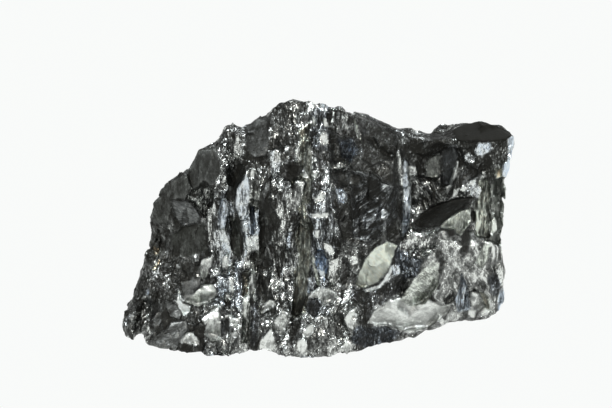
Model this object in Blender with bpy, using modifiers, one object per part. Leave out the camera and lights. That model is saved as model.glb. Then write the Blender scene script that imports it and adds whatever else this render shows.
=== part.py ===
"""A lump of bright, banded coal, built as one solid.

Run it with: blender --background --python part.py

X runs along the lump, +Y to its back and +Z up, and the origin is in the middle of its base.
The beds stand upright, across X, so their broken edges run up the front.
Every length in the tables below is in millimetres and every angle in degrees.
"""

import math
from collections import namedtuple

import bmesh
import bpy
import numpy as np
from mathutils import Matrix, Vector, noise

NAME = "coal_lump"
MM = 0.001

# Driving dimensions.
LENGTH = 110.0
DEPTH = 53.0
HEIGHT = 68.0

HEART = np.array((0.0, 26.0, 23.0))  # the point that hollows are pushed towards
WORKING_GRID = 0.95  # spacing of the dense mesh that the fractures are worked into
TRIANGLES = 9600
FLAT_WITHIN = 0.05  # what is this close to the flat base is in it
DULLING = 0.5  # takes the thinnest splinters off the edges

COAL_BLACK = (0.022, 0.022, 0.024, 1.0)
COAL_ROUGHNESS = 0.3
COAL_METALLIC = 0.35

# The outermost corners of the lump before anything broke out of it. Y counts from the foot of the front.
FOOT = [
    (-57.4, 14, 1), (-58, 11, 3), (-55.6, 8, -0.8), (-50.5, 5.8, -0.8), (-42, 3.2, -0.8), (-33, 0.6, -0.8),
    (-5, -0.4, -0.8), (8, 1.2, -0.8), (26, 9.2, -0.8), (51, 20.8, -0.8), (55.4, 24, 0.3),
]
FRONT = [
    (-51.4, 17.5, 12), (-38, 5, 22), (-29, 3, 26), (-7, 1.5, 21), (10, 3.2, 22), (23, 9.8, 31),
    (35, 14.5, 35), (52, 20.5, 40), (55.6, 22.5, 9), (53.4, 22, 24),
]
LEFT_SHOULDER = [(-49.8, 19, 22), (-49, 21, 32), (-47.9, 22, 39.6), (-43.9, 24, 42.6), (-33.6, 26, 53.3)]
CREST = [
    (-27.4, 27, 59.2), (-13.5, 27, 66.8), (-9, 27, 68.2), (-1, 28, 65.4), (9.8, 29, 59.8), (16.6, 30, 55),
]
RIGHT_TOP = [(38, 23, 52.4), (55.4, 21, 56.4), (56.4, 26, 57.7), (53.5, 31, 57.4), (44.5, 36, 55.2)]
BACK = [
    (-45, 33, 28), (-34, 36, 40), (-8, 38, 57), (20, 42, 46), (50, 44, 43),
    (-50, 34, 10), (-40, 46, 16), (-5, 53, 22), (30, 53, 24), (51, 48, 26),
]
BACK_FOOT = [(-50, 30, -0.8), (-38, 43, -0.8), (-10, 50, -0.8), (28, 50, -0.8), (50, 45, -0.8), (54, 36, 1)]

# Curved, shell-like breaks: an ellipsoid that took the coal inside it, turned about X, then Y.
Hollow = namedtuple("Hollow", "at radii turned")
HOLLOWS = {
    "saddle in the crest": Hollow(at=(32, 33, 66.4), radii=(20.5, 30, 12), turned=(0, 0)),
    "dip by the crest": Hollow(at=(20, 33, 70), radii=(13, 30, 12.6), turned=(0, 0)),
    "glassy hollow": Hollow(at=(14, 4, 44), radii=(9, 12, 16), turned=(0, 20)),
    "low left scoop": Hollow(at=(-41, -5, 9), radii=(8, 12, 11), turned=(0, 30)),
    "dark pocket": Hollow(at=(-8.6, 12, 50), radii=(3.6, 5, 3.2), turned=(0, 0)),
    "left waist": Hollow(at=(-57.6, 15, 18), radii=(9, 14, 10), turned=(0, 0)),
    "right waist": Hollow(at=(61.8, 24, 23), radii=(8.5, 20, 13), turned=(0, 0)),
}

# Where a block broke out and left a corner: the coal that stood proud of every one of these faces is gone.
# "facing" is the azimuth a face looks to (0 is straight out of the front, + turns to +X) and its elevation.
Face = namedtuple("Face", "at facing")
BREAKS = {
    "step in the shoulder": (Face((-31, 26, 52.7), (-90, 87)), Face((-28.4, 26.5, 56), (-90, 10))),
    "step below the shoulder": (Face((-38.3, 25, 45.9), (-90, 66)), Face((-36.8, 25.5, 49.3), (-90, 26))),
    "step below the crest": (Face((-21.5, 27, 59.6), (-90, 88)), Face((-16.2, 27, 61.6), (-90, 42))),
    "corner over the ledge": (
        Face((36, 21, 34.4), (-60, 56)), Face((36, 24.8, 42), (-10, 3)), Face((23.4, 24, 42), (75, 0)),
    ),
    "under the leaf": (Face((17, 8.8, 17.5), (-10, 48)), Face((17, 9.6, 21), (-14, -8))),
}

# Where a piece split off and left a nearly flat face: the coal that stands proud of the face is gone.
# "reach" is the face's half width and half height, and "roll" turns those clockwise as seen from outside.
Split = namedtuple("Split", "at facing reach roll")
SPLITS = {
    "leaf face": Split(at=(18, 8.2, 27), facing=(-14, -8), reach=(3.6, 9.5), roll=42),
    "pale low face": Split(at=(25, 8.6, 12), facing=(30, -5), reach=(12, 8.5), roll=12),
    "pale step": Split(at=(37, 14.8, 20), facing=(22, 1), reach=(7, 13), roll=24),
    "right strip": Split(at=(48.5, 20.2, 26), facing=(30, 2), reach=(6, 20), roll=0),
    "left flank": Split(at=(-43, 14, 36), facing=(-34, 30), reach=(12, 16), roll=-10),
    "left toe": Split(at=(-54.6, 12, 7), facing=(-52, 14), reach=(7, 10), roll=0),
    "low left plate": Split(at=(-33.5, 3.2, 20.5), facing=(12, -4), reach=(5.5, 4.5), roll=30),
    "foot on the right": Split(at=(38, 16.8, 1), facing=(25, -10), reach=(8, 5), roll=0),
    "foot on the left": Split(at=(-17.5, 2.8, 1), facing=(0, -10), reach=(6.5, 4), roll=0),
    "back face": Split(at=(5, 50.5, 24), facing=(176, 10), reach=(34, 22), roll=0),
    "back left face": Split(at=(-38, 42, 20), facing=(222, 20), reach=(20, 22), roll=0),
    "back upper face": Split(at=(18, 43, 45.3), facing=(164, 33), reach=(18, 22), roll=0),
    "right end": Split(at=(53.6, 34, 28), facing=(96, 2), reach=(16, 28), roll=0),
}

# Smaller splits strewn all over.
STREWN = 230
STREWN_SEED = 30
STREWN_LEAN = 0.26  # how far their facings stray from the surface's own
STREWN_REACH = (3.0, 9.0)
STREWN_WIDE = (0.5, 1.0)  # half width and half height as shares of the reach
STREWN_TALL = (0.8, 1.5)
STREWN_DEPTH = (0.1, 0.7)
STREWN_ROLL = 18.0
STREWN_NARROWER = 0.6  # where the beds show, the small faces are long and upright
STREWN_LOWEST = -0.4  # none where the surface's normal points further down than this

# The beds: where each one starts along X, and how far its broken edge stands out (+) or lies back (-).
Bed = namedtuple("Bed", "start proud")
BEDS = [
    Bed(-70, 0.0), Bed(-43, 0.3), Bed(-35.2, -0.6), Bed(-31.4, 0.3), Bed(-29.2, 1.2), Bed(-26.6, -0.7),
    Bed(-23.6, 1.3), Bed(-18.8, -2.0), Bed(-15.2, 0.3), Bed(-11.5, 1.0), Bed(-8.6, -0.4), Bed(-5.8, 0.6),
    Bed(-3.6, -0.9), Bed(-1.8, 0.7), Bed(3.6, -0.4), Bed(7.8, 0.5), Bed(12, -0.3), Bed(17, 0.0),
    Bed(21.2, 0.9), Bed(24.8, -0.1), Bed(38.0, 0.3), Bed(47.0, -0.2),
]
BED_WANDER = 3.0  # how far a bed's edge strays along X
WANDER_OVER = (14.0, 11.0, 8.0)  # the distances along X, Y and Z over which it does
BED_LEAN = 0.06  # how far the beds shift along X for each millimetre towards the back
BREAK_LENGTH = 20.0  # about how far a bed's edge runs, up and back, before it breaks further in or out
BREAK_STEP = 0.6
RAGGED_OVER = (6.0, 5.0, 5.0)  # distances over which those breaks run ragged
BED_APART = 5.37  # keeps the breaks of one bed out of step with the next one's
BEDS_ON_TOP = 0.3  # how much of the steps is left where a face looks up
BEDS_FADE_AT = (14.0, 30.0)  # from here to here along X the beds fade, where the coal breaks like glass
BEDS_FADE_TO = 0.3
BEDS_FOOT = (4.0, 16.0)  # and down from here to here above the base
BEDS_FOOT_TO = 0.35

# Slow swells that keep the larger faces from being truly flat.
SWELL_SIZE = (17.0, 17.0, 17.0)
SWELL = 0.9


def main():
    for old in list(bpy.data.objects):
        bpy.data.objects.remove(old)
    lump = broken_down(dense(unbroken_block()))
    lump = roughened(dense(lump))
    lump = with_modifier(lump, "SMOOTH", factor=DULLING, iterations=1)
    lump = thinned(lump, TRIANGLES)
    fit_to_size(lump)
    publish(lump)


def unbroken_block():
    """The convex block that the corners span."""
    shape = bmesh.new()
    for corner in FOOT + FRONT + LEFT_SHOULDER + CREST + RIGHT_TOP + BACK + BACK_FOOT:
        shape.verts.new(corner)
    hull = bmesh.ops.convex_hull(shape, input=shape.verts)
    spare = [v for v in hull["geom_interior"] if isinstance(v, bmesh.types.BMVert)]
    bmesh.ops.delete(shape, geom=spare, context="VERTS")
    mesh = bpy.data.meshes.new(NAME)
    shape.to_mesh(mesh)
    shape.free()
    return mesh


def with_modifier(mesh, kind, **settings):
    """The mesh that a modifier makes of this one."""
    holder = bpy.data.objects.new("holder", mesh)
    bpy.context.scene.collection.objects.link(holder)
    modifier = holder.modifiers.new(kind, kind)
    for name, value in settings.items():
        setattr(modifier, name, value)
    graph = bpy.context.evaluated_depsgraph_get()
    made = bpy.data.meshes.new_from_object(holder.evaluated_get(graph))
    bpy.data.objects.remove(holder)
    return made


def dense(mesh):
    return with_modifier(mesh, "REMESH", mode="VOXEL", voxel_size=WORKING_GRID)


def points_of(mesh):
    points = np.empty(len(mesh.vertices) * 3, np.float32)
    mesh.vertices.foreach_get("co", points)
    return points.reshape(-1, 3).astype(float)


def set_points(mesh, points):
    mesh.vertices.foreach_set("co", points.astype(np.float32).ravel())
    mesh.update()


def normals_of(mesh):
    normals = np.empty(len(mesh.vertices) * 3, np.float32)
    mesh.vertices.foreach_get("normal", normals)
    return normals.reshape(-1, 3).astype(float)


def towards(azimuth, elevation):
    """The unit vector of a facing."""
    a, e = math.radians(azimuth), math.radians(elevation)
    return np.array([math.sin(a) * math.cos(e), -math.cos(a) * math.cos(e), math.sin(e)])


def split_off(points, normals, split):
    """Takes down what stands proud of the split's plane, within its reach and on its own side."""
    out = towards(*split.facing)
    level = np.cross((0, 0, 1), out)
    level /= np.linalg.norm(level)
    roll = math.radians(split.roll)
    across = math.cos(roll) * level - math.sin(roll) * np.cross(out, level)
    up = np.cross(out, across)
    away = points - np.array(split.at, float)
    proud = away @ out
    inside = ((away @ across) / split.reach[0]) ** 2 + ((away @ up) / split.reach[1]) ** 2 < 1
    inside &= (proud > 0) & (proud < max(split.reach)) & (normals @ out > 0)
    return points - np.outer(np.where(inside, proud, 0), out)


def break_out(points, faces):
    """Takes away the coal that stands proud of all the faces, and leaves each point on the nearest one."""
    outs = np.array([towards(*face.facing) for face in faces])
    proud = np.stack([(points - face.at) @ out for face, out in zip(faces, outs)])
    nearest = proud.argmin(axis=0)
    depth = np.where(proud.min(axis=0) > 0, proud.min(axis=0), 0)
    return points - outs[nearest] * depth[:, None]


def hollow_out(points, hollow):
    """Pushes the coal inside an ellipsoid back to its far wall, towards the heart of the lump."""
    about_x, about_y = (math.radians(angle) for angle in hollow.turned)
    turn = np.array(Matrix.Rotation(about_x, 3, "X") @ Matrix.Rotation(about_y, 3, "Y"))
    radii = np.array(hollow.radii, float)
    inward = HEART - np.array(hollow.at, float)
    inward /= np.linalg.norm(inward)
    local = (points - np.array(hollow.at, float)) @ turn / radii
    step = inward @ turn / radii
    a, b, c = step @ step, local @ step, (local**2).sum(1) - 1
    reach = (-b + np.sqrt(np.maximum(b * b - a * c, 0))) / a
    return points + np.outer(np.where(c < 0, reach, 0), inward)


def bed_edges(points, outward):
    """Steps the surface in and out where one bed ends and the next begins."""
    starts = np.array([bed.start for bed in BEDS])
    stray = BED_WANDER * noise_at(points, WANDER_OVER)
    index = np.searchsorted(starts, points[:, 0] + stray - BED_LEAN * points[:, 1]) - 1
    run = (points[:, 2] + points[:, 1]) / BREAK_LENGTH + BED_APART * index + noise_at(points, RAGGED_OVER)
    broken = np.array([noise.cell(Vector((BED_APART * i, r, 0))) - 0.5 for i, r in zip(index, run)])
    step = np.array([bed.proud for bed in BEDS])[index] + 2 * BREAK_STEP * broken
    sideways = np.hypot(outward[:, 1], BEDS_ON_TOP * outward[:, 2])
    return points + outward * (step * sideways * bed_strength(points))[:, None]


def bed_strength(points):
    """The beds show less at the foot and at the right."""
    right = smooth(*BEDS_FADE_AT, points[..., 0])
    foot = 1 - smooth(*BEDS_FOOT, points[..., 2])
    return (1 - (1 - BEDS_FADE_TO) * right) * (1 - (1 - BEDS_FOOT_TO) * foot)


def noise_at(points, size):
    return np.array([noise.noise(Vector(p)) for p in points / np.array(size)])


def smooth(low, high, value):
    t = np.clip((value - low) / (high - low), 0, 1)
    return t * t * (3 - 2 * t)


def strewn_split(rng, point, normal):
    """A small split near a point of the surface, leaning a little away from it."""
    out = normal + rng.normal(0, STREWN_LEAN, 3)
    azimuth = math.degrees(math.atan2(out[0], -out[1]))
    elevation = math.degrees(math.atan2(out[2], math.hypot(out[0], out[1])))
    at = point - rng.uniform(*STREWN_DEPTH) * towards(azimuth, elevation)
    half = rng.uniform(*STREWN_REACH)
    half_width = half * rng.uniform(*STREWN_WIDE) * (1 - STREWN_NARROWER * bed_strength(point))
    reach = (half_width, half * rng.uniform(*STREWN_TALL))
    return Split(at, (azimuth, elevation), reach, rng.uniform(-STREWN_ROLL, STREWN_ROLL))


def strew_splits(mesh, points):
    """Small faces everywhere but underneath, where the lump has to stand."""
    rng = np.random.default_rng(STREWN_SEED)
    for _ in range(STREWN):
        set_points(mesh, points)
        normals = normals_of(mesh)
        index = rng.choice(np.flatnonzero(normals[:, 2] > STREWN_LOWEST))
        points = split_off(points, normals, strewn_split(rng, points[index], normals[index]))
    return points


def broken_down(mesh):
    """The large breaks: hollows, broken-out corners and splits."""
    points = points_of(mesh)
    points += SWELL * noise_at(points, SWELL_SIZE)[:, None] * normals_of(mesh)
    for hollow in HOLLOWS.values():
        points = hollow_out(points, hollow)
    for faces in BREAKS.values():
        points = break_out(points, faces)
    for split in SPLITS.values():
        set_points(mesh, points)
        points = split_off(points, normals_of(mesh), split)
    set_points(mesh, points)
    return mesh


def roughened(mesh):
    """Small splits and the edges of the beds, then the broken-out corners afresh and the resting flat."""
    points = strew_splits(mesh, points_of(mesh))
    set_points(mesh, points)
    points = bed_edges(points, normals_of(mesh))
    for faces in BREAKS.values():
        points = break_out(points, faces)
    points[:, 2] = np.maximum(points[:, 2], 0)
    set_points(mesh, points)
    return mesh


def thinned(mesh, triangles):
    """The same shape with fewer triangles, most of them where it bends."""
    mesh.calc_loop_triangles()
    share = triangles / len(mesh.loop_triangles)
    made = with_modifier(mesh, "DECIMATE", ratio=share, use_collapse_triangulate=True)
    points = points_of(made)
    points[points[:, 2] < FLAT_WITHIN, 2] = 0
    set_points(made, points)
    return made


def fit_to_size(mesh):
    """Scales the worked lump to its driving dimensions, with the origin in the middle of its base."""
    points = points_of(mesh)
    low, high = points.min(0), points.max(0)
    anchor = np.array([(low[0] + high[0]) / 2, (low[1] + high[1]) / 2, low[2]])
    scale = np.array([LENGTH, DEPTH, HEIGHT]) / (high - low)
    set_points(mesh, (points - anchor) * scale)


def coal():
    material = bpy.data.materials.new("coal")
    material.use_nodes = True
    shader = material.node_tree.nodes["Principled BSDF"]
    shader.inputs["Base Color"].default_value = COAL_BLACK
    shader.inputs["Roughness"].default_value = COAL_ROUGHNESS
    shader.inputs["Metallic"].default_value = COAL_METALLIC
    return material


def publish(mesh):
    mesh.transform(Matrix.Scale(MM, 4))
    mesh.materials.clear()
    mesh.materials.append(coal())
    lump = bpy.data.objects.new(NAME, mesh)
    collection = bpy.data.collections.new("coal lump")
    bpy.context.scene.collection.children.link(collection)
    collection.objects.link(lump)


main()
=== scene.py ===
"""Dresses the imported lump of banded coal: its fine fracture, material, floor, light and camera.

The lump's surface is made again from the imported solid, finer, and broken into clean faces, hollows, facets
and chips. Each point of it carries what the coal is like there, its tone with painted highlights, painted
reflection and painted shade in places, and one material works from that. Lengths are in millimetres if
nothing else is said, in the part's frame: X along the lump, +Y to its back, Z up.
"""

import math
from collections import namedtuple

import bpy
import numpy as np
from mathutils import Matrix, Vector, bvhtree, kdtree, noise


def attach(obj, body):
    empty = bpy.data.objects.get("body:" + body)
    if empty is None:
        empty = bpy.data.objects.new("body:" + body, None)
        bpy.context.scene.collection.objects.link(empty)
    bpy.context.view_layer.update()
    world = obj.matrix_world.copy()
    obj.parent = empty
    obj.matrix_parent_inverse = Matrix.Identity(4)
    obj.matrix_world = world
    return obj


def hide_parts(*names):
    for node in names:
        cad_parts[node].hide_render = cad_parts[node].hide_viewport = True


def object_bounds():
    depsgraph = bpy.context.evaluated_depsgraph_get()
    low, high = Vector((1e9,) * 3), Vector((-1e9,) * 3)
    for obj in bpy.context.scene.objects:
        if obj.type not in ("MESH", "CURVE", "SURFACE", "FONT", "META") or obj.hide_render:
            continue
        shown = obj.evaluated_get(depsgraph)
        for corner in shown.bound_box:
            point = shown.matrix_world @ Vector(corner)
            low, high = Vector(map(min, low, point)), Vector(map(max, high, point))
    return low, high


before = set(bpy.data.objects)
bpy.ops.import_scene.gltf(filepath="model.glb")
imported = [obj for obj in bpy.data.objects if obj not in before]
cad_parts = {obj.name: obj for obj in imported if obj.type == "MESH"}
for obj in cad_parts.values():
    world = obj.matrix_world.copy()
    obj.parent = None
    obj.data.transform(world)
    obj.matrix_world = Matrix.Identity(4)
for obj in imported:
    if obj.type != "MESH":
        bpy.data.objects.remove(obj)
CAD_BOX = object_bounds()

MM = 0.001
FORM_GRID = 0.55  # of the surface that the large facets and the patches are made on
FINE_GRID = 0.40  # of the surface that the small facets are made on
MOST_TRIANGLES = 196000
OVERHANG = 0.012  # how far the finished surface may pass the CAD box, as a share of each side
SHARP = math.radians(14)  # edges sharper than this stay sharp
TINY = 1e-6

# The camera looks down on the lump from far in front of it, through a long lens.
ELEVATION = math.radians(30)
LENS = 135.0
SENSOR = 36.0
DISTANCE = 642.3
LOOK_AT = np.array((-2.57, -4.67, 37.82))
CLIP_START, CLIP_END = 0.01, 20.0  # in metres
FRAME = (612, 408)  # the spots that the picture has across and down
FOCAL = FRAME[0] * LENS / SENSOR
AHEAD = np.array((0, math.cos(ELEVATION), -math.sin(ELEVATION)))
UP = np.array((0, math.sin(ELEVATION), math.cos(ELEVATION)))
RIGHT = np.array((1.0, 0, 0))
EYE = LOOK_AT - AHEAD * DISTANCE

# What the coal is like where. "corners" are spots of the 612 x 408 frame that the camera fills, and a patch
# lies on the lump behind them. "tone" runs from soot at 0 to silver at 1. A patch that broke to a clean face
# has its "facing": an azimuth (0 straight out of the front, + to +X) and an elevation in degrees, or AS_IS
# for the way that the coal faces there already. A patch lies "sunk" below the surface, or proud below 0.
# "blue" is a cold sheen, or a warm one below 0, "grain" how coarsely broken the coal is, "streak" how far it
# is drawn out upright, and "slant" how far the streaks lean, in degrees.
# A patch's tone also carries painted light: painted highlights, painted reflection and painted shade, as the
# tables below say.
FINISH = ("tone", "blue", "grain", "streak", "slant")
AS_IS = "as it is"
Patch = namedtuple(
    "Patch", "corners tone facing sunk blue grain streak slant", defaults=(None, 0.0, 0.0, 0.3, 0.1, 0.0))

# Stretches of like coal, under all else. The sparkle and glint stretches are painted highlights.
ZONES = {
    "upper left": Patch(((118, 350), (118, 230), (150, 180), (200, 130), (216, 128), (210, 180), (206, 225),
        (206, 262), (180, 285), (176, 350)), 0.28, grain=0.45),
    "left waist": Patch(((140, 255), (176, 262), (182, 285), (176, 302), (142, 300)),
        0.25, grain=0.7, streak=0.3),
    "left crest": Patch(((206, 150), (228, 120), (244, 128), (262, 104), (272, 104), (262, 150), (240, 180),
        (208, 196)), 0.3, grain=0.9),
    "left crest sparkle": Patch(((228, 160), (231, 140), (240, 132), (247, 146), (243, 168), (236, 176)),
        0.52, grain=0.9),
    "crest dark": Patch(((246, 122), (262, 108), (272, 118), (274, 150), (262, 162), (246, 158)),
        0.14, grain=0.35),
    "crest sparkle": Patch(((268, 106), (292, 98), (312, 102), (314, 118), (296, 132), (272, 126)),
        0.36, grain=0.7),
    "crest glints": Patch(((290, 101), (296, 100), (297, 108), (290, 109)), 0.8, grain=0.9),
    "middle crest": Patch(((268, 126), (296, 132), (300, 158), (280, 164), (262, 186), (252, 180),
        (262, 160)), 0.4, grain=0.7, streak=0.2),
    "white crest": Patch(((312, 114), (330, 116), (332, 150), (318, 154), (311, 140)),
        0.48, blue=0.3, grain=0.9, streak=0.6),
    "dark glass": Patch(((330, 112), (356, 112), (400, 138), (402, 240), (384, 250), (356, 262), (340, 236),
        (332, 190), (328, 150)), 0.17, grain=0.5, streak=0.45, slant=-35),
    "glass scratches": Patch(((352, 172), (372, 174), (396, 188), (398, 212), (386, 232), (366, 244),
        (354, 238), (350, 206)), 0.27, blue=0.2, grain=0.35, streak=0.8, slant=-48),
    "glass crest": Patch(((330, 110), (356, 110), (368, 128), (366, 142), (340, 138), (328, 128)),
        0.16, grain=0.35, streak=1.0, slant=-14),
    "right top": Patch(((398, 138), (456, 130), (460, 142), (440, 156), (424, 170), (412, 170), (398, 156)),
        0.1, grain=0.6),
    "right wall": Patch(((430, 150), (462, 138), (506, 140), (506, 172), (474, 180), (456, 196), (426, 204)),
        0.22, grain=0.7),
    "hackles": Patch(((408, 176), (430, 178), (450, 192), (442, 206), (424, 216), (410, 226)),
        0.36, grain=0.7, streak=0.8, slant=35),
    "right ends": Patch(((468, 176), (508, 160), (514, 300), (480, 316), (468, 250)),
        0.5, grain=0.5, streak=0.6),
    "lower right": Patch(((404, 244), (440, 222), (474, 232), (492, 262), (492, 312), (440, 330), (392, 336),
        (362, 330), (386, 296), (398, 270)), 0.57, grain=0.4, streak=0.35, slant=30),
    "lower middle": Patch(((336, 250), (360, 246), (362, 292), (360, 326), (330, 330), (330, 290)),
        0.48, grain=0.6, streak=0.4, slant=-15),
    "foot jumble": Patch(((206, 344), (206, 304), (240, 310), (330, 316), (352, 300), (362, 330), (352, 356),
        (216, 358)), 0.57, grain=0.6),
    "left foot": Patch(((118, 346), (118, 318), (136, 310), (152, 300), (150, 320), (152, 350)),
        0.5, grain=0.9),
    "dark by the leaf": Patch(((394, 249), (404, 246), (419, 250), (424, 262), (416, 276), (404, 282),
        (396, 270)), 0.26, blue=0.5, grain=0.8),
    "below the leaf": Patch(((350, 286), (364, 291), (380, 288), (392, 278), (404, 280), (400, 292),
        (388, 298), (376, 306), (362, 302), (352, 300)), 0.2, blue=0.2, grain=0.8),
    "violet face": Patch(((338, 140), (352, 138), (358, 150), (352, 162), (342, 158)),
        0.28, blue=0.7, grain=0.9, streak=0.4, slant=-20),
    "blue grey face": Patch(((360, 149), (370, 149), (372, 160), (362, 161)),
        0.4, blue=0.35, grain=0.8, streak=0.3, slant=-30),
    "band upper": Patch(((312, 150), (331, 150), (333, 190), (312, 190)),
        0.34, blue=0.1, grain=0.9, streak=0.6),
}

# Cracks, pockets and dark steps, sunk into the lump, with painted shade: their low tone darkens them where
# shade falls.
HOLLOWS = {
    "dark under the big face": Patch(((350, 340), (356, 326), (390, 328), (402, 334), (384, 345),
        (362, 347)), 0.22, sunk=0.4, blue=0.5, grain=0.7),
    "crack": Patch(((440, 260), (444, 262), (441, 276), (438, 290), (435, 290), (438, 276)), 0.2, sunk=0.3),
    "crack below": Patch(((427, 295), (434, 299), (443, 305), (441, 308), (432, 303)), 0.2, sunk=0.12),
    "knot": Patch(((446, 230), (455, 229), (457, 234), (449, 237)), 0.12, sunk=0.7),
    "dark hook": Patch(((462, 236), (466, 218), (470, 222), (469, 250), (464, 258), (460, 250)),
        0.16, sunk=0.6, grain=0.5),
    "dark low right": Patch(((488, 276), (496, 274), (501, 284), (497, 296), (490, 292)),
        0.26, sunk=0.3, blue=0.4, grain=0.7),
    "wall dark": Patch(((459, 182), (463, 164), (484, 166), (482, 174), (472, 180)),
        0.16, sunk=0.5, blue=0.1, grain=0.7),
    "dark hood": Patch(((331, 173), (350, 171), (362, 177), (358, 185), (338, 185)), 0.12, sunk=0.5),
    "sunk band": Patch(((260, 190), (266, 192), (268, 240), (271, 262), (270, 290), (262, 302), (255, 298),
        (257, 276), (261, 250)), 0.18, sunk=1.2, grain=0.4, streak=0.5),
    "pocket": Patch(((280, 168), (292, 162), (304, 166), (300, 176), (288, 181), (280, 178)),
        0.07, sunk=1.4, grain=0.2),
    "smooth brown": Patch(((231, 216), (240, 219), (243, 248), (240, 262), (232, 250)),
        0.26, sunk=0.3, blue=-0.3, streak=0.4),
    "hole": Patch(((202, 259), (206, 259), (206, 265), (202, 265)), 0.2, sunk=0.5),
    "dark shell": Patch(((153, 306), (164, 300), (174, 304), (178, 314), (166, 318), (166, 326), (158, 334),
        (152, 322)), 0.24, sunk=0.4, grain=0.25, streak=0.2),
    "dark column": Patch(((221, 320), (229, 319), (230, 328), (226, 336), (221, 336)),
        0.2, sunk=0.5, blue=0.2, grain=0.4, streak=0.4),
    "dark foot column": Patch(((251, 304), (258, 302), (259, 322), (256, 350), (250, 348)),
        0.24, sunk=0.3, blue=0.3, grain=0.6, streak=0.5),
    "dark foot shade": Patch(((288, 338), (290, 318), (300, 318), (305, 322), (298, 330), (292, 346)),
        0.2, sunk=0.6, grain=0.5),
    "shoulder crack": Patch(((168, 210), (172, 208), (178, 220), (179, 232), (173, 230)),
        0.14, sunk=0.4, grain=0.4),
    "gully": Patch(((245, 160), (250, 163), (244, 176), (235, 192), (231, 202), (226, 198), (230, 178),
        (238, 166)), 0.16, sunk=0.5),
}
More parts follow.
